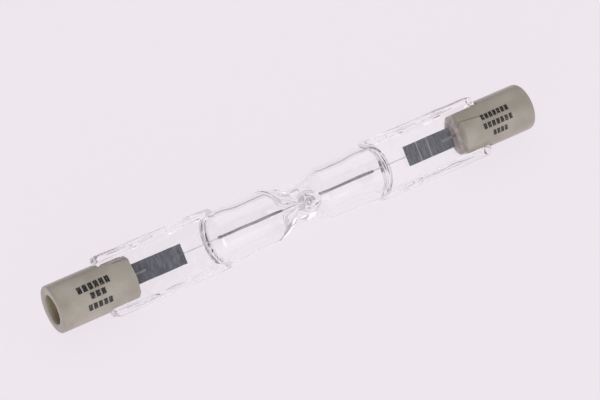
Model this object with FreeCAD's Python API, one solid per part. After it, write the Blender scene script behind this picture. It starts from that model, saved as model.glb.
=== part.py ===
import FreeCAD, Part
import math
import os

# A double-ended linear halogen lamp with a recessed contact in each ceramic cap. Millimetres.
# It is built with its axis along X, the flat of the pinch seals in XY and the exhaust tip up +Z.
# At the end it is rolled about X into the pose in which it lies on a table: on the two chambers
# of the bulb and on one long edge of each pinch seal, with the tip leaning over to the front, -Y.

# The lamp's length: the spacing of the contact faces is what the lamp holder is made for.
contact_spacing = 74.9
contact_recess = 1.7

# The ceramic caps.
cap_diameter = 7.0
cap_length = 12.0
cap_rim_round = 0.6
cap_rim_steps = 3
cap_inner_chamfer = 0.25
contact_bore_diameter = 4.3
contact_bore_chamfer = 0.2
shank_bore_clearance = 0.05
cement_gap = 0.55
cement_bed = 0.5
cement_bulge = 0.35

# The metal contacts.
button_thickness = 0.6
button_seat_diameter = 3.4
button_clearance = 0.05
button_chamfer = 0.15
button_dimple_diameter = 1.4
button_dimple_depth = 0.12
shank_diameter = 1.5
lead_socket = 1.6

# The quartz bulb's two chambers.
tube_diameter = 7.7
shoulder_flare = 0.25
wall = 0.8
shoulder_start = 12.95
shoulder_length = 2.15
dome_turn = 76
dome_steps = 3
flare_start = 8.4
flare_end = 11.4

# The crimp between the chambers, which leaves a passage for the filament's bridge.
crimp_width = 5.3
crimp_height = 7.2
crimp_passage_diameter = 1.8
crimp_reach = 4.6
crimp_steps = 4

# The exhaust tip on the crimp: a drawn-off stub with a round end and a blind hole.
tip_diameter = 2.9
tip_centre = 5.8
tip_neck_diameter = 2.4
tip_neck_height = 4.9
tip_root_diameter = 4.2
tip_steps = 3
tip_end_steps = 4
tip_hole_diameter = 1.1
tip_hole_wall = 1.2

# The pinch seals: a thin web between two thick beads.
pinch_overhang = 0.4
pinch_start = 12.6
pinch_end_to_cap_end = 8.1
web_thickness = 2.2
bead_width = 0.9
bead_height = 3.1
bead_round = 0.45
bead_foot_round = 0.3
pinch_corner_round = 0.6

# What lies sealed in the quartz.
foil_width = 3.0
foil_length = 7.9
foil_thickness = 0.06
foil_feather = 0.4
foil_to_pinch_end = 4.65
inner_lead_diameter = 0.14
outer_lead_diameter = 0.4
lead_on_foil = 1.8
weld_flat = 0.04

# The filament.
coil_diameter = 0.44
coil_inset = 2.2
coil_gap = 3.2
bridge_diameter = 0.2
lead_in_coil = 0.8

# Worked out from the sizes above: distances from the lamp's middle along X, and radii.
half_length = contact_spacing / 2 + contact_recess
cap_inner_end = half_length - cap_length
button_face = half_length - contact_recess
button_seat = button_face - button_thickness
pinch_end = half_length - pinch_end_to_cap_end
slot_bottom = pinch_end + cement_bed
slot_height = web_thickness + 2 * cement_gap
shoulder_end = shoulder_start + shoulder_length
bulb_radius = tube_diameter / 2 + shoulder_flare
pinch_half_width = bulb_radius + pinch_overhang
foil_outer_end = pinch_end - foil_to_pinch_end
foil_inner_end = foil_outer_end - foil_length
foil_top = weld_flat - min(inner_lead_diameter, outer_lead_diameter) / 2
coil_outer_end = shoulder_end - coil_inset

X = FreeCAD.Vector(1, 0, 0)
Z = FreeCAD.Vector(0, 0, 1)
ORIGIN = FreeCAD.Vector(0, 0, 0)


def rod(diameter, start, end):
    """A round bar along the lamp's axis."""
    return Part.makeCylinder(diameter / 2, end - start, FreeCAD.Vector(start, 0, 0), X)


def turned(outline, axis):
    """A solid turned about an axis through the origin, from places along the axis and radii."""
    points = [axis * along + (X + Z - axis) * radius for along, radius in outline]
    return Part.Face(Part.makePolygon(points + points[:1])).revolve(ORIGIN, axis, 360)


def mirrored(shape):
    """The same shape on the other side of the lamp's middle."""
    return shape.mirror(ORIGIN, X)


def block(start, end, low_y, high_y, low_z, high_z):
    """A box between two distances along the axis."""
    corner = FreeCAD.Vector(start, low_y, low_z)
    return Part.makeBox(end - start, high_y - low_y, high_z - low_z, corner)


def rounded(solid, radius, wanted):
    """The solid with a fillet along each edge that wanted(edge) picks."""
    return solid.makeFillet(radius, [edge for edge in solid.Edges if wanted(edge)])


def along_axis(low_y, high_y):
    """Picks the straight edges that run along X at a distance from the middle plane."""

    def wanted(edge):
        box = edge.BoundBox
        return box.YLength + box.ZLength < 1e-4 and low_y < abs(box.YMin) < high_y

    return wanted


def ellipse_ring(x, half_width, half_height):
    """An upright elliptical section of the glass at x."""
    curve = Part.Circle(FreeCAD.Vector(x, 0, 0), X, 1).toBSpline()
    for number, pole in enumerate(curve.getPoles(), 1):
        curve.setPole(number, FreeCAD.Vector(x, pole.y * half_width, pole.z * half_height))
    return Part.Wire(curve.toShape())


def squeezed(free, pressed):
    """Places along X and radii through half of the crimp, from its pressed middle outward."""
    places = []
    for step in range(crimp_steps + 1):
        part = step / crimp_steps
        places.append((crimp_reach * part, free + (pressed - free) * (1 - part ** 2) ** 2))
    return places


def chamber(inset):
    """Outline of the +X chamber beyond the crimp, this far inside the outside of the glass."""
    wide = bulb_radius - inset
    outline = [(flare_start, tube_diameter / 2 - inset), (flare_end, wide)]
    for step in range(dome_steps + 1):
        angle = math.radians(dome_turn) * step / dome_steps
        outline.append((shoulder_start + (shoulder_length - inset) * math.sin(angle), wide * math.cos(angle)))
    return outline + [(outline[-1][0], 0)]


def blown():
    """The two chambers and the crimp between them, as if they were solid."""
    free = tube_diameter / 2
    widths, heights = squeezed(free, crimp_width / 2), squeezed(free, crimp_height / 2)
    rings = [ellipse_ring(x, width, height) for (x, width), (_, height) in zip(widths, heights)]
    half = turned([(crimp_reach, 0), (crimp_reach, free)] + chamber(0), X)
    half = half.fuse(Part.makeLoft(rings, True, True))
    return half.fuse(mirrored(half))


def hollow():
    """The space in the two chambers, with the passage through the crimp."""
    free = tube_diameter / 2 - wall
    half = turned([(0, 0)] + squeezed(free, crimp_passage_diameter / 2) + chamber(wall), X)
    return half.fuse(mirrored(half))


def exhaust_tip():
    """The stub that is left where the exhaust tube was drawn off, turned about Z."""
    radius = tip_diameter / 2
    outline = [(crimp_height / 2 - wall, 0), (crimp_height / 2 - wall, tip_root_diameter / 2)]
    for step in range(tip_steps + 1):
        drawn = step / tip_steps
        neck = tip_root_diameter / 2 + (tip_neck_diameter - tip_root_diameter) / 2 * drawn ** 0.5
        outline.append((crimp_height / 2 + (tip_neck_height - crimp_height / 2) * drawn, neck))
    for step in range(tip_end_steps + 1):
        angle = math.pi / 2 * step / tip_end_steps
        outline.append((tip_centre + radius * math.sin(angle), radius * math.cos(angle)))
    return turned(outline, Z)


def exhaust_hole():
    """The blind hole in the tip, open to the passage through the crimp."""
    height = tip_centre + tip_diameter / 2 - tip_hole_wall
    return Part.makeCylinder(tip_hole_diameter / 2, height, ORIGIN, Z)


def pinch_seal():
    """The flat seal on the +X side: its I section, cut to its outline as seen from above."""
    edge = pinch_half_width
    channel = edge - bead_width
    seal = block(pinch_start, pinch_end, -edge, edge, -bead_height / 2, bead_height / 2)
    for side in (-1, 1):
        low, high = sorted((side * web_thickness / 2, side * bead_height))
        seal = seal.cut(block(pinch_start, pinch_end, -channel, channel, low, high))
    seal = rounded(seal, bead_foot_round, lambda e: along_axis(channel - 0.01, channel + 0.01)(e)
                   and abs(abs(e.BoundBox.ZMin) - web_thickness / 2) < 1e-3)
    seal = rounded(seal, bead_round, along_axis(edge - 0.01, edge + 0.01))
    outline = block(pinch_start, pinch_end, -edge, edge, -bead_height, bead_height)
    outline = rounded(outline, pinch_corner_round, lambda e: e.BoundBox.ZLength > bead_height)
    return seal.common(outline)


def molybdenum_foil():
    """The foil on the +X side, feathered to a knife edge along both sides."""
    middle = foil_top - foil_thickness / 2
    half, flat = foil_width / 2, foil_width / 2 - foil_feather
    low, high = middle - foil_thickness / 2, middle + foil_thickness / 2
    section = [(-half, middle), (-flat, low), (flat, low), (half, middle), (flat, high), (-flat, high)]
    points = [FreeCAD.Vector(foil_inner_end, y, z) for y, z in section]
    return Part.Face(Part.makePolygon(points + points[:1])).extrude(X * foil_length)


def flattened(lead, start, end):
    """The lead with the side that is welded to the foil flattened on it, between two distances."""
    width = outer_lead_diameter + inner_lead_diameter
    return lead.cut(block(start, end, -width, width, foil_top - width, foil_top))


def ceramic_cap():
    """The cap on the +X side: a turned body with a stepped bore, slotted at its inner end."""
    radius = cap_diameter / 2
    shank_bore = shank_diameter / 2 + shank_bore_clearance
    outline = [
        (cap_inner_end, shank_bore),
        (cap_inner_end, radius - cap_inner_chamfer),
        (cap_inner_end + cap_inner_chamfer, radius),
    ]
    for step in range(cap_rim_steps + 1):
        angle = math.pi / 2 * step / cap_rim_steps
        outline.append((half_length - cap_rim_round * (1 - math.sin(angle)),
                        radius - cap_rim_round * (1 - math.cos(angle))))
    outline += [
        (half_length, contact_bore_diameter / 2 + contact_bore_chamfer),
        (half_length - contact_bore_chamfer, contact_bore_diameter / 2),
        (button_face, contact_bore_diameter / 2),
        (button_face, button_seat_diameter / 2),
        (button_seat, button_seat_diameter / 2),
        (button_seat, shank_bore),
    ]
    return turned(outline, X).cut(cap_slot(cap_diameter))


def cap_slot(reach):
    """The slot that straddles the pinch seal, this far out from the axis on both sides."""
    return block(cap_inner_end - 1, slot_bottom, -reach, reach, -slot_height / 2, slot_height / 2)


def cap_cement(pinch, lead):
    """What fills the slot between the prongs and behind the pinch seal, and bulges out of its mouth."""
    radius = cap_diameter / 2 - cap_inner_chamfer
    outline = [
        (cap_inner_end - cement_bulge, 0),
        (cap_inner_end - cement_bulge, radius - cement_bulge),
        (cap_inner_end, radius),
        (slot_bottom, radius),
        (slot_bottom, 0),
    ]
    return turned(outline, X).common(cap_slot(cap_diameter)).cut(pinch).cut(lead)


def contact_button(lead):
    """The contact: a disc on the step of the bore, with a shank that grips the outer lead."""
    radius = button_seat_diameter / 2 - button_clearance
    outline = [
        (slot_bottom, 0),
        (slot_bottom, shank_diameter / 2),
        (button_seat, shank_diameter / 2),
        (button_seat, radius),
        (button_face - button_chamfer, radius),
        (button_face, radius - button_chamfer),
        (button_face, button_dimple_diameter / 2),
        (button_face - button_dimple_depth, 0),
    ]
    return turned(outline, X).cut(lead)


def lamp():
    """Every piece by name, in the frame in which the lamp is built."""
    foil = molybdenum_foil()
    outer_start = foil_outer_end - lead_on_foil
    inner_end = foil_inner_end + lead_on_foil
    outer_lead = flattened(rod(outer_lead_diameter, outer_start, slot_bottom + lead_socket),
                           outer_start, foil_outer_end)
    inner_lead = flattened(rod(inner_lead_diameter, coil_outer_end - lead_in_coil, inner_end),
                           foil_inner_end, inner_end)
    pinch = pinch_seal()
    right = {
        "ceramic_cap": ceramic_cap(),
        "contact_button": contact_button(outer_lead),
        "cap_cement": cap_cement(pinch, outer_lead),
        "molybdenum_foil": foil,
        "outer_lead": outer_lead,
        "inner_lead": inner_lead,
    }

    glass = blown().fuse([pinch, mirrored(pinch), exhaust_tip()]).cut(hollow().fuse(exhaust_hole()))
    sealed_in = foil.fuse([outer_lead, inner_lead])
    for pocket in (sealed_in, mirrored(sealed_in)):
        glass = glass.cut(pocket)

    coil = rod(coil_diameter, coil_gap / 2, coil_outer_end)
    filament = rod(bridge_diameter, -coil_gap / 2, coil_gap / 2).fuse([coil, mirrored(coil)])

    pieces = {
        "quartz_bulb": glass,
        "filament": filament.cut(inner_lead).cut(mirrored(inner_lead)),
    }
    for name, shape in right.items():
        pieces[name + "_right"] = shape
        pieces[name + "_left"] = mirrored(shape)
    return pieces


def laid_down(pieces):
    """The pieces as they lie on a table, with the middle of their box above the origin."""
    edge_arm = pinch_half_width - bead_round
    edge_rise = bead_height / 2 - bead_round
    roll = math.asin((bulb_radius - bead_round) / math.hypot(edge_arm, edge_rise))
    roll -= math.atan2(edge_rise, edge_arm)
    rolled = {}
    for name, shape in pieces.items():
        rolled[name] = shape.copy()
        rolled[name].rotate(ORIGIN, X, math.degrees(roll))
    box = Part.makeCompound(list(rolled.values())).optimalBoundingBox(False, False)
    for shape in rolled.values():
        shape.translate(FreeCAD.Vector(0, -(box.YMin + box.YMax) / 2, -box.ZMin))
    return rolled


os.makedirs("parts", exist_ok=True)
for name, shape in laid_down(lamp()).items():
    shape.exportStep("parts/" + name + ".step")
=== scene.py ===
import math
import random

import bmesh
import bpy
from mathutils import Matrix, Vector, noise


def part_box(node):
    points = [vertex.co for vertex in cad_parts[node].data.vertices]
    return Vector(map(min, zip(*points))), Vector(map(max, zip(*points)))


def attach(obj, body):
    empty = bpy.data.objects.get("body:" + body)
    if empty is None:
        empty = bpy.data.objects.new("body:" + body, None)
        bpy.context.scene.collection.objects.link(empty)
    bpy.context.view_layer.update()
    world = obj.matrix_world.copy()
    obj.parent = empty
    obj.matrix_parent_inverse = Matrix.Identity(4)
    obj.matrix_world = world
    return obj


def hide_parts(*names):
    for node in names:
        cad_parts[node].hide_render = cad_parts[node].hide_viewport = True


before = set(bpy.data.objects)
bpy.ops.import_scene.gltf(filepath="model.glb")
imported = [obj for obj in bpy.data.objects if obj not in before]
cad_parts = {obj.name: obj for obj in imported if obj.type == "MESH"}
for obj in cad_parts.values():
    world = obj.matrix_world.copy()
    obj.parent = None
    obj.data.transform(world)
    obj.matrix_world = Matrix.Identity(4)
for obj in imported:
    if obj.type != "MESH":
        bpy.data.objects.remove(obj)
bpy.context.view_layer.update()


# The quartz bulb: one tube of clear fused quartz, pinched in the middle round its exhaust tube, which
# was then melted off to a stub, and squeezed shut between hot jaws at both ends. It is shaped in
# millimetres with the seals flat in XY and the tip up, then rolled and laid down.
TUBE_RADIUS, BULB_RADIUS, WALL = 3.85, 4.1, 0.8
FLARE_START, FLARE_END, DOME_START, DOME_LENGTH = 8.4, 11.4, 12.95, 2.15
CRIMP_REACH, CRIMP_HALF_WIDTH, CRIMP_HALF_HEIGHT = 4.6, 2.65, 3.6
PASSAGE_HALF_WIDTH, PASSAGE_HALF_HEIGHT = 0.7, 1.6

TIP_FOOT, TIP_FOOT_RADIUS, TIP_ROOT, TIP_ROOT_SPREAD = 2.9, 2.4, 3.25, 1.1
TIP_NECK_HEIGHT, TIP_NECK_RADIUS, TIP_CENTRE, TIP_RADIUS = 4.7, 1.2, 5.8, 1.45
HOLE_RADIUS, HOLE_TOP = 0.55, TIP_CENTRE + TIP_RADIUS - 1.2
MELTED_LOW, MELTED_HIGH, MELTED_RADIUS, MELTED_PASSES = 3.1, 4.4, 2.7, 8

# The glass reaches this much too far into the cement round it, so that their faces never coincide.
IN_CEMENT = 0.02
SEAL_START, SEAL_END, SEAL_HALF_WIDTH, SEAL_CORNER = 12.6, 31.05 + IN_CEMENT, 4.5, 0.6
SEAL_BEFORE, SEAL_AFTER, FILLET = 0.3, 0.5, 0.9
WEB_HALF, BEAD_RISE, BEAD_WIDTH, BEAD_ROUND, EDGE_ROUND = 1.1, 0.465, 0.9, 0.45, 0.25
ABRUPT, MORE_GENTLE = 0.12, 0.55
WAVES, MORE_IN_SEALS = 0.02, 0.04
OUTLINE_STEPS, QUARTER_POINTS, HOLLOW_POINTS = 120, 32, 64

# Where each long bubble starts and ends, how far off the middle it lies, and its radius.
LONG_BUBBLES = [(14.9, 17.9, -3.9, 0.22), (18.1, 28.3, -3.95, 0.15), (17.8, 21.5, 4.05, 0.12),
                (22.2, 27.8, 4.0, 0.1), (-23.2, -20.2, -3.8, 0.22), (-28.3, -23.6, -4.1, 0.1),
                (-24.4, -22.0, 4.05, 0.15), (-29.4, -26.2, 4.1, 0.1)]
LONG_BUBBLE_HEIGHT, BUBBLES_START, BUBBLES_END = 0.95, 16.5, 27

# The lamp lies on its chambers and on the edge of a bead in each seal, which sets how it is rolled.
cap_low, cap_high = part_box("ceramic_cap_left")
AXIS = (cap_low + cap_high) / 2
ROLL = math.asin((BULB_RADIUS - BEAD_ROUND) / math.hypot(SEAL_HALF_WIDTH - BEAD_ROUND, WEB_HALF))
ROLL -= math.atan2(WEB_HALF, SEAL_HALF_WIDTH - BEAD_ROUND)
ROLLED = Matrix.Rotation(ROLL, 4, "X")
LAID_DOWN = Matrix.Translation((0, AXIS.y, AXIS.z)) @ ROLLED @ Matrix.Scale(0.001, 4)


class Value:
    """What comes out of a material's node. Sums, differences and products of it are further nodes."""

    def __init__(self, tree, socket):
        self.tree = tree
        self.socket = socket

    def node(self, kind, inputs, output=0, **settings):
        """One output of a new node, its inputs given by name or number."""
        made = self.tree.nodes.new(kind)
        for name, setting in settings.items():
            setattr(made, name, setting)
        for name, given in inputs.items():
            if isinstance(given, Value):
                self.tree.links.new(given.socket, made.inputs[name])
            else:
                made.inputs[name].default_value = given
        return Value(self.tree, made.outputs[output])

    def math(self, operation, other=0.0):
        return self.node("ShaderNodeMath", {0: self, 1: other}, operation=operation)

    def __add__(self, other):
        return self.math("ADD", other)

    def __sub__(self, other):
        return self.math("SUBTRACT", other)

    def __mul__(self, other):
        return self.math("MULTIPLY", other)

    def __rsub__(self, other):
        return self.node("ShaderNodeMath", {0: other, 1: self}, operation="SUBTRACT")

    __radd__, __rmul__ = __add__, __mul__

    def axis(self, number):
        """This place's x, y or z, which are 0, 1 and 2."""
        return self.node("ShaderNodeSeparateXYZ", {0: self}, output=number)

    def ray(self, question):
        """What the light path answers for the ray that meets the surface."""
        return self.node("ShaderNodeLightPath", {}, output=question)

    def steps(self, low, high):
        """0 below low, 1 above high and smooth between."""
        inputs = {"Value": self, "From Min": low, "From Max": high}
        return self.node("ShaderNodeMapRange", inputs, interpolation_type="SMOOTHSTEP")

    def mix(self, first, second):
        """From the first colour to the second as this goes from 0 to 1."""
        inputs = {"Factor": self, 6: first, 7: second}
        return self.node("ShaderNodeMix", inputs, output=2, data_type="RGBA")

    def noise(self, scale, stretch=(1, 1, 1), detail=2.0):
        """Soft noise at this place, with so many grains to a metre."""
        place = self.node("ShaderNodeVectorMath", {0: self, 1: stretch}, operation="MULTIPLY")
        return self.node("ShaderNodeTexNoise", {"Vector": place, "Scale": scale, "Detail": detail})

    def bump(self, depth, strength):
        """A normal bent by this as a height of so many metres."""
        return self.node("ShaderNodeBump", {"Height": self, "Distance": depth, "Strength": strength})


def material(name, **constants):
    """A new material, with the place on the surface and the shader's inputs."""
    made = bpy.data.materials.new(name)
    made.use_nodes = True
    shader = made.node_tree.nodes["Principled BSDF"]
    for socket, value in constants.items():
        shader.inputs[socket.replace("_", " ")].default_value = value
    coordinates = made.node_tree.nodes.new("ShaderNodeTexCoord")
    return made, Value(made.node_tree, coordinates.outputs["Object"]), shader.inputs


def drive(socket, value):
    value.tree.links.new(value.socket, socket)


def cover(made, factor, layer):
    """Mixes a further shader over what the material shows so far."""
    output = made.node_tree.nodes["Material Output"].inputs["Surface"]
    so_far = Value(made.node_tree, output.links[0].from_socket)
    drive(output, factor.node("ShaderNodeMixShader", {0: factor, 1: so_far, 2: layer}))


def finished(name, bm, surface, node):
    """The mesh, laid down, as a piece of the object that stands for a node."""
    bm.transform(LAID_DOWN)
    mesh = bpy.data.meshes.new(name)
    bm.to_mesh(mesh)
    bm.free()
    mesh.shade_smooth()
    mesh.materials.append(surface)
    piece = bpy.data.objects.new(name, mesh)
    bpy.context.scene.collection.objects.link(piece)
    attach(piece, "root")
    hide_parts(node)
    return piece


def smooth(low, high, x):
    """0 below low, 1 above high and smooth between."""
    part = min(max((x - low) / (high - low), 0), 1)
    return part * part * (3 - 2 * part)


def spaced(first, apart, count):
    return [first + apart * step for step in range(count)]


def quarter_turn(steps):
    """The angles of a quarter turn in so many steps."""
    return [math.pi / 2 * step / steps for step in range(steps + 1)]


def chamber(x, inset, pressed):
    """Half the width or height of the chambers and of the pressed crimp between them."""
    x = abs(x)
    radius = TUBE_RADIUS + (BULB_RADIUS - TUBE_RADIUS) * smooth(FLARE_START, FLARE_END, x) - inset
    if x < CRIMP_REACH:
        radius += (pressed - radius) * (1 - (x / CRIMP_REACH) ** 2) ** 2
    into_dome = max(0, x - DOME_START) / (DOME_LENGTH - inset)
    return radius * math.sqrt(max(0, 1 - into_dome ** 2))


def seal_height(x, y, edge):
    """Half the height of a seal: a thin web that rises to a bead, here and there abruptly."""
    gentle = smooth(-0.1, 0.25, noise.noise(Vector((x * 0.16, 3 * math.copysign(1, x), 0))))
    rise = ABRUPT + MORE_GENTLE * gentle
    height = WEB_HALF + BEAD_RISE * smooth(edge - BEAD_WIDTH - rise, edge - BEAD_WIDTH + rise, y)
    past = max(0, y - edge + EDGE_ROUND) / EDGE_ROUND
    return height + IN_CEMENT - BEAD_ROUND * (1 - math.sqrt(max(0, 1 - past ** 2)))


def evenly(curve, count):
    """The points that part a curve into so many stretches of one length."""
    lengths = [0]
    for (y0, z0), (y1, z1) in zip(curve, curve[1:]):
        lengths.append(lengths[-1] + math.hypot(y1 - y0, z1 - z0))
    points, at = [], 0
    for step in range(count + 1):
        wanted = lengths[-1] * step / count
        while at < len(lengths) - 2 and lengths[at + 1] < wanted:
            at += 1
        part = (wanted - lengths[at]) / max(lengths[at + 1] - lengths[at], 1e-9)
        points.append([a + (b - a) * min(part, 1) for a, b in zip(curve[at], curve[at + 1])])
    return points


def outline(x):
    """The glass's closed outline at x: the round chamber or the flat seal, whichever stands out
    further, with a fillet between them."""
    across, upright = chamber(x, 0, CRIMP_HALF_WIDTH), chamber(x, 0, CRIMP_HALF_HEIGHT)
    grown = smooth(SEAL_START - SEAL_BEFORE, SEAL_START + SEAL_AFTER, abs(x))
    short = max(0, SEAL_START + SEAL_CORNER - abs(x), abs(x) - SEAL_END + SEAL_CORNER)
    edge = SEAL_HALF_WIDTH - SEAL_CORNER + math.sqrt(max(0, SEAL_CORNER ** 2 - short ** 2))
    half_width = max(across, edge) if grown else across
    curve = [(half_width, 0)]
    for turn in quarter_turn(OUTLINE_STEPS):
        y = half_width * math.cos(turn)
        round_part = upright * math.sqrt(max(0, 1 - (y / across) ** 2)) if across else 0
        flat_part = grown * seal_height(x, y, edge) if grown and y <= edge else 0
        near = max(0, 1 - abs(round_part - flat_part) / FILLET) if grown else 0
        curve.append((y, max(round_part, flat_part) + near ** 2 * FILLET / 4))
    points = evenly(curve, QUARTER_POINTS)
    back = points[::-1][1:]
    ring = points + [(-y, z) for y, z in back]
    ring += [(-y, -z) for y, z in points[1:]] + [(y, -z) for y, z in back[:-1]]
    return [Vector((x, y, z)) for y, z in ring]


def hollow_outline(x):
    """The hollow's round outline at x."""
    across, upright = chamber(x, WALL, PASSAGE_HALF_WIDTH), chamber(x, WALL, PASSAGE_HALF_HEIGHT)
    turns = [2 * math.pi * step / HOLLOW_POINTS for step in range(HOLLOW_POINTS)]
    return [Vector((x, across * math.cos(turn), upright * math.sin(turn))) for turn in turns]


def stations(dome_length, seals):
    """Where along the lamp its outline is taken, closer where it bends, with or without the seals."""
    half = [CRIMP_REACH * step / 26 for step in range(27)]
    half += spaced(4.9, 0.4, 17) + spaced(11.5, 0.12, 12)
    half += [DOME_START + dome_length * math.sin(turn) for turn in quarter_turn(26)]
    if seals:
        half += spaced(15.18, 0.08, 5) + spaced(15.7, 0.25, 59)
        half += [SEAL_END - SEAL_CORNER * (1 - math.sin(turn)) for turn in quarter_turn(6)]
    return [-x for x in reversed(half[1:])] + half


def closed(bm):
    """The mesh with its open ends filled and its faces turned outwards."""
    bmesh.ops.holes_fill(bm, edges=[edge for edge in bm.edges if edge.is_boundary], sides=0)
    bmesh.ops.recalc_face_normals(bm, faces=bm.faces)
    return bm


def skin(rings):
    """A closed skin through rings of points that all have the same count."""
    bm = bmesh.new()
    count = len(rings[0])
    bmesh.ops.create_grid(bm, x_segments=len(rings) - 1, y_segments=count, size=1)
    for vert in bm.verts:
        ring = round((vert.co.x + 1) / 2 * (len(rings) - 1))
        place = round((vert.co.y + 1) / 2 * count)
        vert.co = rings[ring][place % count]
    bmesh.ops.remove_doubles(bm, verts=bm.verts, dist=1e-5)
    return closed(bm)


def wavy(rings):
    """The rings with the slight waves that the jaws leave in the seals and the flame elsewhere."""
    for ring in rings:
        for point in ring:
            depth = WAVES + MORE_IN_SEALS * smooth(14, 17, abs(point.x))
            wave = noise.noise(Vector((point.x * 0.4, point.y * 0.8, point.z * 0.8)))
            ripple = noise.noise(Vector((point.x * 1.7, point.y * 0.5, point.z * 2 + 9)))
            out = Vector((0, point.y * 0.4, point.z)).normalized()
            point += out * depth * (wave + 0.3 * ripple)
    return rings


def turned(profile, steps):
    """A closed solid spun about Z from radii and heights that begin and end on the axis, or that go
    once round."""
    bm = bmesh.new()
    verts = [bm.verts.new((radius, 0, height)) for radius, height in profile]
    edges = [bm.edges.new(pair) for pair in zip(verts, verts[1:])]
    bmesh.ops.spin(bm, geom=verts + edges, axis=(0, 0, 1), cent=(0, 0, 0), steps=steps,
                   angle=2 * math.pi, use_merge=True)
    bmesh.ops.remove_doubles(bm, verts=bm.verts, dist=1e-4)
    return closed(bm)


def combined(first, second, operation):
    """The two closed meshes joined, or the first cut by the second."""
    objects = []
    for bm in (first, second):
        mesh = bpy.data.meshes.new("part")
        bm.to_mesh(mesh)
        bm.free()
        objects.append(bpy.data.objects.new("part", mesh))
        bpy.context.scene.collection.objects.link(objects[-1])
    modifier = objects[0].modifiers.new("part", "BOOLEAN")
    modifier.operation = operation
    modifier.object = objects[1]
    modifier.solver = "EXACT"
    result = bmesh.new()
    result.from_object(objects[0], bpy.context.evaluated_depsgraph_get())
    for made in objects:
        bpy.data.meshes.remove(made.data)
    return result


def tip_profile():
    """The stub from inside the crimp: a wide root, a neck and a melted round end."""
    profile = [(0, TIP_FOOT), (TIP_FOOT_RADIUS, TIP_FOOT)]
    for step in range(15):
        part = step / 14
        radius = TIP_NECK_RADIUS + TIP_ROOT_SPREAD * (1 - part) ** 2.4
        profile.append((radius, TIP_ROOT + (TIP_NECK_HEIGHT - TIP_ROOT) * part))
    for step in range(1, 9):
        part = step / 8
        radius = TIP_NECK_RADIUS + (TIP_RADIUS - TIP_NECK_RADIUS) * smooth(0, 1, part)
        profile.append((radius, TIP_NECK_HEIGHT + (TIP_CENTRE - TIP_NECK_HEIGHT) * part))
    for turn in quarter_turn(16)[1:]:
        profile.append((TIP_RADIUS * math.cos(turn), TIP_CENTRE + TIP_RADIUS * math.sin(turn)))
    return profile


def bubble(bm, place, radii, subdivisions):
    """A drawn-out cavity, as a small closed shape turned inside out."""
    matrix = Matrix.Translation(place) @ Matrix.Diagonal((*radii, 1))
    made = bmesh.ops.create_icosphere(bm, subdivisions=subdivisions, radius=1, matrix=matrix)
    faces = list({face for vert in made["verts"] for face in vert.link_faces})
    bmesh.ops.reverse_faces(bm, faces=faces)


def bubbles(bm):
    """Short bubbles strewn along the seals' beads, and a few long ones above them."""
    chance = random.Random(4)
    for side in (-1, 1):
        for edge in (-1, 1):
            x = BUBBLES_START
            while x < BUBBLES_END:
                length = chance.uniform(0.15, 0.9)
                place = (side * x, edge * chance.uniform(3.75, 4.2), chance.uniform(-0.7, 0.7))
                bubble(bm, place, (length, chance.uniform(0.03, 0.08), chance.uniform(0.03, 0.08)), 2)
                x += length + chance.uniform(0.5, 2.2)
    for start, end, y, radius in LONG_BUBBLES:
        place = ((start + end) / 2, y, LONG_BUBBLE_HEIGHT)
        bubble(bm, place, ((end - start) / 2, radius, radius), 3)


glass = skin(wavy([outline(x) for x in stations(DOME_LENGTH, seals=True)]))
glass = combined(glass, turned(tip_profile(), 64), "UNION")
melted = [vert for vert in glass.verts if math.hypot(vert.co.x, vert.co.y) < MELTED_RADIUS
          and MELTED_LOW < vert.co.z < MELTED_HIGH]
for _ in range(MELTED_PASSES):
    bmesh.ops.smooth_vert(glass, verts=melted, factor=0.5, use_axis_x=True, use_axis_y=True,
                          use_axis_z=True)

hole = [(0, 0), (HOLE_RADIUS, 0), (HOLE_RADIUS, HOLE_TOP - 0.5), (HOLE_RADIUS * 0.8, HOLE_TOP - 0.2),
        (0, HOLE_TOP)]
hollow = skin([hollow_outline(x) for x in stations(DOME_LENGTH - WALL, seals=False)])
hollow = combined(hollow, turned(hole, 32), "UNION")
bmesh.ops.reverse_faces(hollow, faces=hollow.faces)
cavity = bpy.data.meshes.new("cavity")
hollow.to_mesh(cavity)
hollow.free()
glass.from_mesh(cavity)
bpy.data.meshes.remove(cavity)
bubbles(glass)

# Clear, with next to no shadow. Where a ray is still in the glass after five bounces, the glass glows
# grey, painted shade that is darker by the crimp.
quartz, place, inputs = material("quartz", Base_Color=(0.996, 0.994, 0.992, 1), Roughness=0, IOR=1.458,
                                 Transmission_Weight=1)
unshaded = place.node("ShaderNodeBsdfTransparent", {"Color": (0.95, 0.945, 0.94, 1)})
cover(quartz, place.ray("Is Shadow Ray"), unshaded)
# Painted shade: a grey glow for rays still in the glass after five bounces, darker by the crimp.
off_crimp = place.axis(0).math("ABSOLUTE").steps(0.0025, 0.004)
grey = off_crimp.mix((0.25, 0.24, 0.25, 1), (0.66, 0.63, 0.67, 1))
trapped = place.ray("Ray Depth").math("GREATER_THAN", 5.5)
cover(quartz, trapped, place.node("ShaderNodeEmission", {"Color": grey}))
finished("quartz_bulb_clear", glass, quartz, "quartz_bulb")


# The filament: one tungsten wire, wound to a close coil in each chamber and left straight where it
# goes through the crimp. It is drawn dark grey metal, held at its ends by the inner leads.
COIL_RADIUS, COIL_WIRE, COIL_PITCH, COIL_START, COIL_END = 0.165, 0.055, 0.165, 1.6, 12.9
TURN_STEPS, WIRE_SIDES = 14, 8
STRAIGHT_RADIUS, STRAIGHT_LENGTH = 0.09, 2 * COIL_START + 0.4

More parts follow.
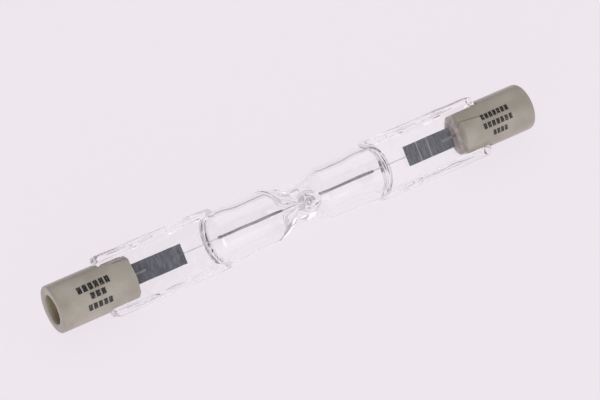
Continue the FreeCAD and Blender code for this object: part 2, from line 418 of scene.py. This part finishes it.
wire = bmesh.new()
turns = (COIL_END - COIL_START) / COIL_PITCH
steps = round(turns * TURN_STEPS)
for start in (COIL_START, -COIL_END):
    upright = Matrix.Translation((start, COIL_RADIUS, 0))
    end = bmesh.ops.create_circle(wire, segments=WIRE_SIDES, radius=COIL_WIRE, matrix=upright)["verts"]
    edges = list({edge for vert in end for edge in vert.link_edges})
    bmesh.ops.spin(wire, geom=end + edges, cent=(start, 0, 0), axis=(1, 0, 0), steps=steps,
                   dvec=((COIL_END - COIL_START) / steps, 0, 0), angle=turns * 2 * math.pi)
lie = Matrix.Rotation(math.pi / 2, 4, "Y")
bmesh.ops.create_cone(wire, cap_ends=True, segments=12, radius1=STRAIGHT_RADIUS,
                      radius2=STRAIGHT_RADIUS, depth=STRAIGHT_LENGTH, matrix=lie)
wire = closed(wire)

tungsten, place, inputs = material("tungsten", Metallic=1)
drawn = place.noise(700, detail=3.0)
drive(inputs["Base Color"], drawn.steps(0.35, 0.65).mix((0.32, 0.31, 0.325, 1), (0.48, 0.47, 0.485, 1)))
drive(inputs["Roughness"], drawn * 0.2 + 0.4)
finished("filament_coiled", wire, tungsten, "filament")


# The foils and leads: in each seal a ribbon of rolled molybdenum, blue-grey, with fine cross lines and
# two creases where the quartz gripped it while it shrank, each drawn as a light line of painted
# highlight.
# Drawn wires of the same metal lead from it to the contact and into the chamber, where the wire stays
# bright.
FOIL_DARK, FOIL_LIGHT, CREASE_HIGHLIGHT = (0.108, 0.113, 0.134, 1), (0.205, 0.21, 0.244, 1), (0.5, 0.51, 0.54, 1)
LEAD_BRIGHT, LEAD_SEALED_IN = (0.68, 0.67, 0.68, 1), (0.22, 0.22, 0.24, 1)


def dressed(stem, surface):
    """Gives the pieces at both ends of the lamp their material."""
    for side in ("_left", "_right"):
        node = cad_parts[stem + side]
        node.data.materials.clear()
        node.data.materials.append(surface)


foil, place, inputs = material("molybdenum_foil", Metallic=0.3)
lines = place.noise(4000, stretch=(1, 0.2, 0.2), detail=3.0)
blotch = place.noise(500, detail=3.0)
foil_tone_and_crease_highlights = (lines * 0.7 + blotch * 0.3).steps(0.35, 0.65).mix(FOIL_DARK, FOIL_LIGHT)
# Painted highlight: each crease is a light line painted along the fold.
for crease in (0.02065, 0.0224):
    foil_tone_and_crease_highlights = (place.axis(0) - crease).math("ABSOLUTE").steps(0.00007, 0.00003).mix(foil_tone_and_crease_highlights, CREASE_HIGHLIGHT)
drive(inputs["Base Color"], foil_tone_and_crease_highlights)
drive(inputs["Roughness"], blotch * 0.3 + 0.4)
dressed("molybdenum_foil", foil)

lead, place, inputs = material("molybdenum_lead", Metallic=0.8, Base_Color=(0.3, 0.3, 0.31, 1))
drive(inputs["Roughness"], place.noise(1500, stretch=(0.1, 1, 1)) * 0.25 + 0.3)
dressed("outer_lead", lead)

bright_lead, place, inputs = material("bright_lead", Metallic=0.4)
sealed_in = place.axis(0).math("ABSOLUTE").steps(0.0183, 0.0186)
drive(inputs["Base Color"], sealed_in.mix(LEAD_BRIGHT, LEAD_SEALED_IN))
drive(inputs["Roughness"], place.noise(1500, stretch=(0.1, 1, 1)) * 0.2 + 0.25)
dressed("inner_lead", bright_lead)


# The ceramic caps: pressed and fired steatite, cream grey and satin, with a stepped bore for the
# contact and a slot that straddles the seal. The left one has a sharper rim and a front prong ground
# off along the slot, and the right one a seam. Rows of dark marks are fired onto both.
CAP_RADIUS, CAP_START, CAP_END = 3.5, 27.15, 39.15
CAP_RIM = {-1: 0.3, 1: 0.6}
INNER_EDGE, INNER_EDGE_ROUND, BORE_EDGE = 0.25, 0.07, 0.2
BORE_RADIUS, SEAT_RADIUS, SHANK_RADIUS = 2.15, 1.7, 0.8
BUTTON_FACE, BUTTON_SEAT = 37.45, 36.85
SLOT_END, SLOT_HALF = 31.55, 1.65
GROUND_IN, GROUND_AT_MOUTH, GROUND_AT_END = 2.3, 2.5, 1.95

CREAM, STAINED, SPECKS = (0.52, 0.48, 0.41, 1), (0.42, 0.38, 0.315, 1), (0.36, 0.33, 0.27, 1)
FILLING, SEAM, BORE_SHADE_BROWN = (0.3, 0.26, 0.19, 1), (0.13, 0.11, 0.08, 1), (0.23, 0.16, 0.05, 1)
MARK_BLACK = (0.008, 0.008, 0.009, 1)
SEAM_HEIGHT, SEAM_SLOPE = 2.9, 0.13

# Each row of marks by its place round the cap, its height, where it starts, how many blocks it has and
# how long each is. A gap of 0.3 of a block follows each.
MARKS = {
    "left": [(7.0, 1.05, -35.9, 6, 0.66), (8.35, 0.9, -34.4, 3, 0.66), (9.9, 0.95, -35.15, 5, 0.6)],
    "right": [(7.15, 0.85, 30.4, 7, 0.53), (8.55, 0.85, 30.3, 7, 0.56), (9.95, 0.85, 31.6, 4, 0.5)],
}
MARK_PITCH = 1.3


def ground_off():
    """What is ground off the left cap's front prong along the slot, more of it towards the mouth."""
    bm = bmesh.new()
    bmesh.ops.create_cube(bm, size=2)
    for vert in bm.verts:
        at_mouth, outer, upper = vert.co.x > 0, vert.co.y > 0, vert.co.z > 0
        x = 0.5 - CAP_START if at_mouth else -SLOT_END
        y = CAP_RADIUS + 0.5 if outer else GROUND_IN
        ground_to = GROUND_AT_MOUTH if at_mouth else GROUND_AT_END
        vert.co = (x, y, ground_to if upper else SLOT_HALF - 0.2)
    return bm


def cap(side):
    """A cap with its rounded edges, stepped bore and slot, on the left where side is -1."""
    rim = CAP_RIM[side]
    profile = [(SHANK_RADIUS, CAP_START), (CAP_RADIUS - INNER_EDGE, CAP_START),
               (CAP_RADIUS - INNER_EDGE_ROUND, CAP_START + INNER_EDGE_ROUND),
               (CAP_RADIUS, CAP_START + INNER_EDGE)]
    for turn in quarter_turn(8):
        profile.append((CAP_RADIUS - rim * (1 - math.cos(turn)), CAP_END - rim * (1 - math.sin(turn))))
    for turn in quarter_turn(4):
        radius = BORE_RADIUS + BORE_EDGE * (1 - math.sin(turn))
        profile.append((radius, CAP_END - BORE_EDGE * (1 - math.cos(turn))))
    profile += [(BORE_RADIUS, BUTTON_FACE), (SEAT_RADIUS, BUTTON_FACE), (SEAT_RADIUS, BUTTON_SEAT),
                (SHANK_RADIUS, BUTTON_SEAT), (SHANK_RADIUS, CAP_START)]
    body = turned(profile, 96)
    bmesh.ops.transform(body, matrix=Matrix.Rotation(side * math.pi / 2, 4, "Y"), verts=body.verts)
    slot = bmesh.new()
    reach = Matrix.Translation((side * (CAP_START + SLOT_END - 1) / 2, 0, 0))
    size = Matrix.Diagonal((SLOT_END - CAP_START + 1, 3 * CAP_RADIUS, 2 * SLOT_HALF, 1))
    bmesh.ops.create_cube(slot, size=1, matrix=reach @ size)
    body = combined(body, slot, "DIFFERENCE")
    return combined(body, ground_off(), "DIFFERENCE") if side < 0 else body


def printed(around, along, rows):
    """1 on the blocks of the marks and 0 beside them."""
    marks = 0
    for level, height, start, count, block in rows:
        row = (around - level).math("ABSOLUTE").math("LESS_THAN", height / 2)
        past = along - start
        spot = past.math("MODULO", block * MARK_PITCH).math("LESS_THAN", block)
        span = past.math("GREATER_THAN", 0) * past.math("LESS_THAN", count * block * MARK_PITCH)
        marks = (row * spot * span).math("MAXIMUM", marks)
    return marks


def steatite(name, rows, has_seam):
    """Fired ceramic with fine specks, soft stains, rows of worn dark marks and painted brown shade in
    the bore.
    """
    made, place, inputs = material(name, Specular_IOR_Level=0.4, Coat_Weight=0.6, Coat_Roughness=0.22)
    along = place.axis(0) * 1000.0
    y = place.axis(1) - AXIS.y
    z = place.axis(2) - AXIS.z
    around = z.math("ARCTAN2", y) * CAP_RADIUS
    grain = place.noise(2600, detail=4.0)
    stain = place.noise(260, detail=3.0)
    ground = stain.steps(0.3, 0.7).mix(CREAM, STAINED)
    ground = (grain.steps(0.62, 0.72) * 0.25).mix(ground, SPECKS)
    if has_seam:
        past_seam = around - along * SEAM_SLOPE - SEAM_HEIGHT
        by_mouth = along.steps(31.2, 30.4)
        ground = (past_seam.steps(0.03, -0.03) * by_mouth * 0.4).mix(ground, FILLING)
        seam = past_seam.math("ABSOLUTE").steps(0.11, 0.05) * by_mouth
        ground = (seam * 0.7).mix(ground, SEAM)
    # Painted shade: the bore wall by the contact is dark brown, for its shade and the brown contact
    # reflected there.
    off_axis = (y * y + z * z).math("SQRT")
    depth = along.math("ABSOLUTE")
    painted_bore_shade = off_axis.steps(0.00225, 0.00210) * depth.steps(39.1, 38.3) * depth.steps(36, 36.8)
    ground = (painted_bore_shade * 0.92).mix(ground, BORE_SHADE_BROWN)
    worn = place.noise(5200, detail=3.0).steps(0.25, 0.44)
    drive(inputs["Base Color"], (printed(around, along, rows) * worn).mix(ground, MARK_BLACK))
    drive(inputs["Roughness"], grain * 0.2 + 0.36)
    drive(inputs["Normal"], (grain + stain * 2).bump(0.00003, 0.5))
    return made


for name, side in (("left", -1), ("right", 1)):
    surface = steatite("steatite_" + name, MARKS[name], side > 0)
    piece = finished("ceramic_cap_fired_" + name, cap(side), surface, "ceramic_cap_" + name)
    piece.data.set_sharp_from_angle(angle=math.radians(40))


# The contacts: turned discs of dulled brass-coloured metal, pressed in at the middle. Each sits at the
# bottom of its cap's bore, with a shank behind it that holds the outer lead.
contact, place, inputs = material("contact_metal", Metallic=1)
dull = place.noise(900, detail=4.0)
drive(inputs["Base Color"], dull.steps(0.3, 0.7).mix((0.36, 0.27, 0.15, 1), (0.22, 0.16, 0.08, 1)))
drive(inputs["Roughness"], dull * 0.3 + 0.3)
dressed("contact_button", contact)


# The cement: a stiff pinkish-grey paste that was pressed into the slot round the seal and baked dry.
# It holds the cap on and bulges a little out of the slot's mouth.
cement, place, inputs = material("cement", Roughness=0.9, Specular_IOR_Level=0.2)
lumps = place.noise(1500, detail=5.0)
drive(inputs["Base Color"], lumps.steps(0.3, 0.7).mix((0.66, 0.59, 0.58, 1), (0.46, 0.41, 0.40, 1)))
drive(inputs["Normal"], lumps.bump(0.0001, 0.7))
dressed("cap_cement", cement)


# The table: a plain pale matt sheet. Where the camera sees it, and in glints and through the glass, it
# glows evenly, which leaves next to no shadow on it.
TABLE_HALF_SIZE, TABLE_GLOW = 1.5, 0.85

sheet, place, inputs = material("table", Roughness=0.6, Specular_IOR_Level=0.15,
                                Base_Color=(0.93, 0.885, 0.93, 1))
looked_at = place.ray("Is Camera Ray") + place.ray("Is Glossy Ray") + place.ray("Is Transmission Ray")
glow = place.node("ShaderNodeEmission", {"Color": (0.91, 0.85, 0.91, 1), "Strength": 1.0})
cover(sheet, looked_at.math("MINIMUM", 1) * TABLE_GLOW, glow)

flat = bmesh.new()
bmesh.ops.create_grid(flat, x_segments=1, y_segments=1, size=TABLE_HALF_SIZE)
mesh = bpy.data.meshes.new("table")
flat.to_mesh(mesh)
flat.free()
mesh.materials.append(sheet)
table = bpy.data.objects.new("table", mesh)
bpy.context.scene.collection.objects.link(table)


# The light: a pale room, bright low in front and dim above and behind, though less dim through the
# glass. A small lamp glints in the quartz, soft ones stand low in front on both sides, and a wide one
# hangs overhead behind.
BRIGHT, DIM, THROUGH_GLASS = (1.1, 1.07, 1.1, 1), (0.24, 0.235, 0.24, 1), (0.9, 0.87, 0.9, 1)
FACES_DIM = (0, 0.75, 0.66)

room = bpy.data.worlds.new("room")
bpy.context.scene.world = room
room.use_nodes = True
coordinates = room.node_tree.nodes.new("ShaderNodeTexCoord")
direction = Value(room.node_tree, coordinates.outputs["Generated"])
facing = direction.node("ShaderNodeVectorMath", {0: direction, 1: FACES_DIM}, output=1,
                        operation="DOT_PRODUCT")
colour = facing.steps(-0.8, -0.2).mix(BRIGHT, DIM)
colour = (direction.ray("Is Transmission Ray") * 0.3).mix(colour, THROUGH_GLASS)
drive(room.node_tree.nodes["Background"].inputs["Color"], colour)


def lamp(name, place, size, power, colour):
    """A round lamp that shines at the middle of the table."""
    light = bpy.data.lights.new(name, "AREA")
    light.shape = "DISK"
    light.size = size
    light.energy = power
    light.color = colour
    made = bpy.data.objects.new(name, light)
    made.location = place
    made.rotation_euler = (-Vector(place)).to_track_quat("-Z", "Y").to_euler()
    bpy.context.scene.collection.objects.link(made)


lamp("glint", place=(-0.35, -0.25, 0.6), size=0.05, power=0.35, colour=(1, 1, 1))
lamp("side", place=(0.32, -0.3, 0.12), size=0.5, power=0.4, colour=(1, 1, 1))
lamp("front", place=(-0.35, -0.42, 0.12), size=0.4, power=1.0, colour=(1, 0.985, 1))
lamp("overhead", place=(0.1, 0.35, 0.55), size=0.75, power=1.1, colour=(1, 0.985, 0.99))


# The camera: a long lens, up and to the left of the front, that looks at the middle of the lamp and
# is tilted by a small part of a degree.
AZIMUTH, ELEVATION, TILT = math.radians(-31.98), math.radians(44.39), math.radians(0.16)
DISTANCE, OFF_RIGHT, OFF_UP = 0.4141, 0.000574, 0.000625

back = Vector((math.sin(AZIMUTH) * math.cos(ELEVATION), -math.cos(AZIMUTH) * math.cos(ELEVATION),
               math.sin(ELEVATION)))
right = Vector((math.cos(AZIMUTH), math.sin(AZIMUTH), 0))
up = back.cross(right)
target = Vector((0, AXIS.y, AXIS.z)) + right * OFF_RIGHT + up * OFF_UP
view = bpy.data.cameras.new("camera")
view.sensor_width = 36
view.lens = 175.6
view.clip_start = 0.01
view.clip_end = 10
camera = bpy.data.objects.new("camera", view)
turn = Matrix((right, up, back)).transposed().to_4x4() @ Matrix.Rotation(TILT, 4, "Z")
camera.matrix_world = Matrix.Translation(target + back * DISTANCE) @ turn
bpy.context.scene.collection.objects.link(camera)
bpy.context.scene.camera = camera
bpy.context.scene.view_settings.view_transform = "Standard"
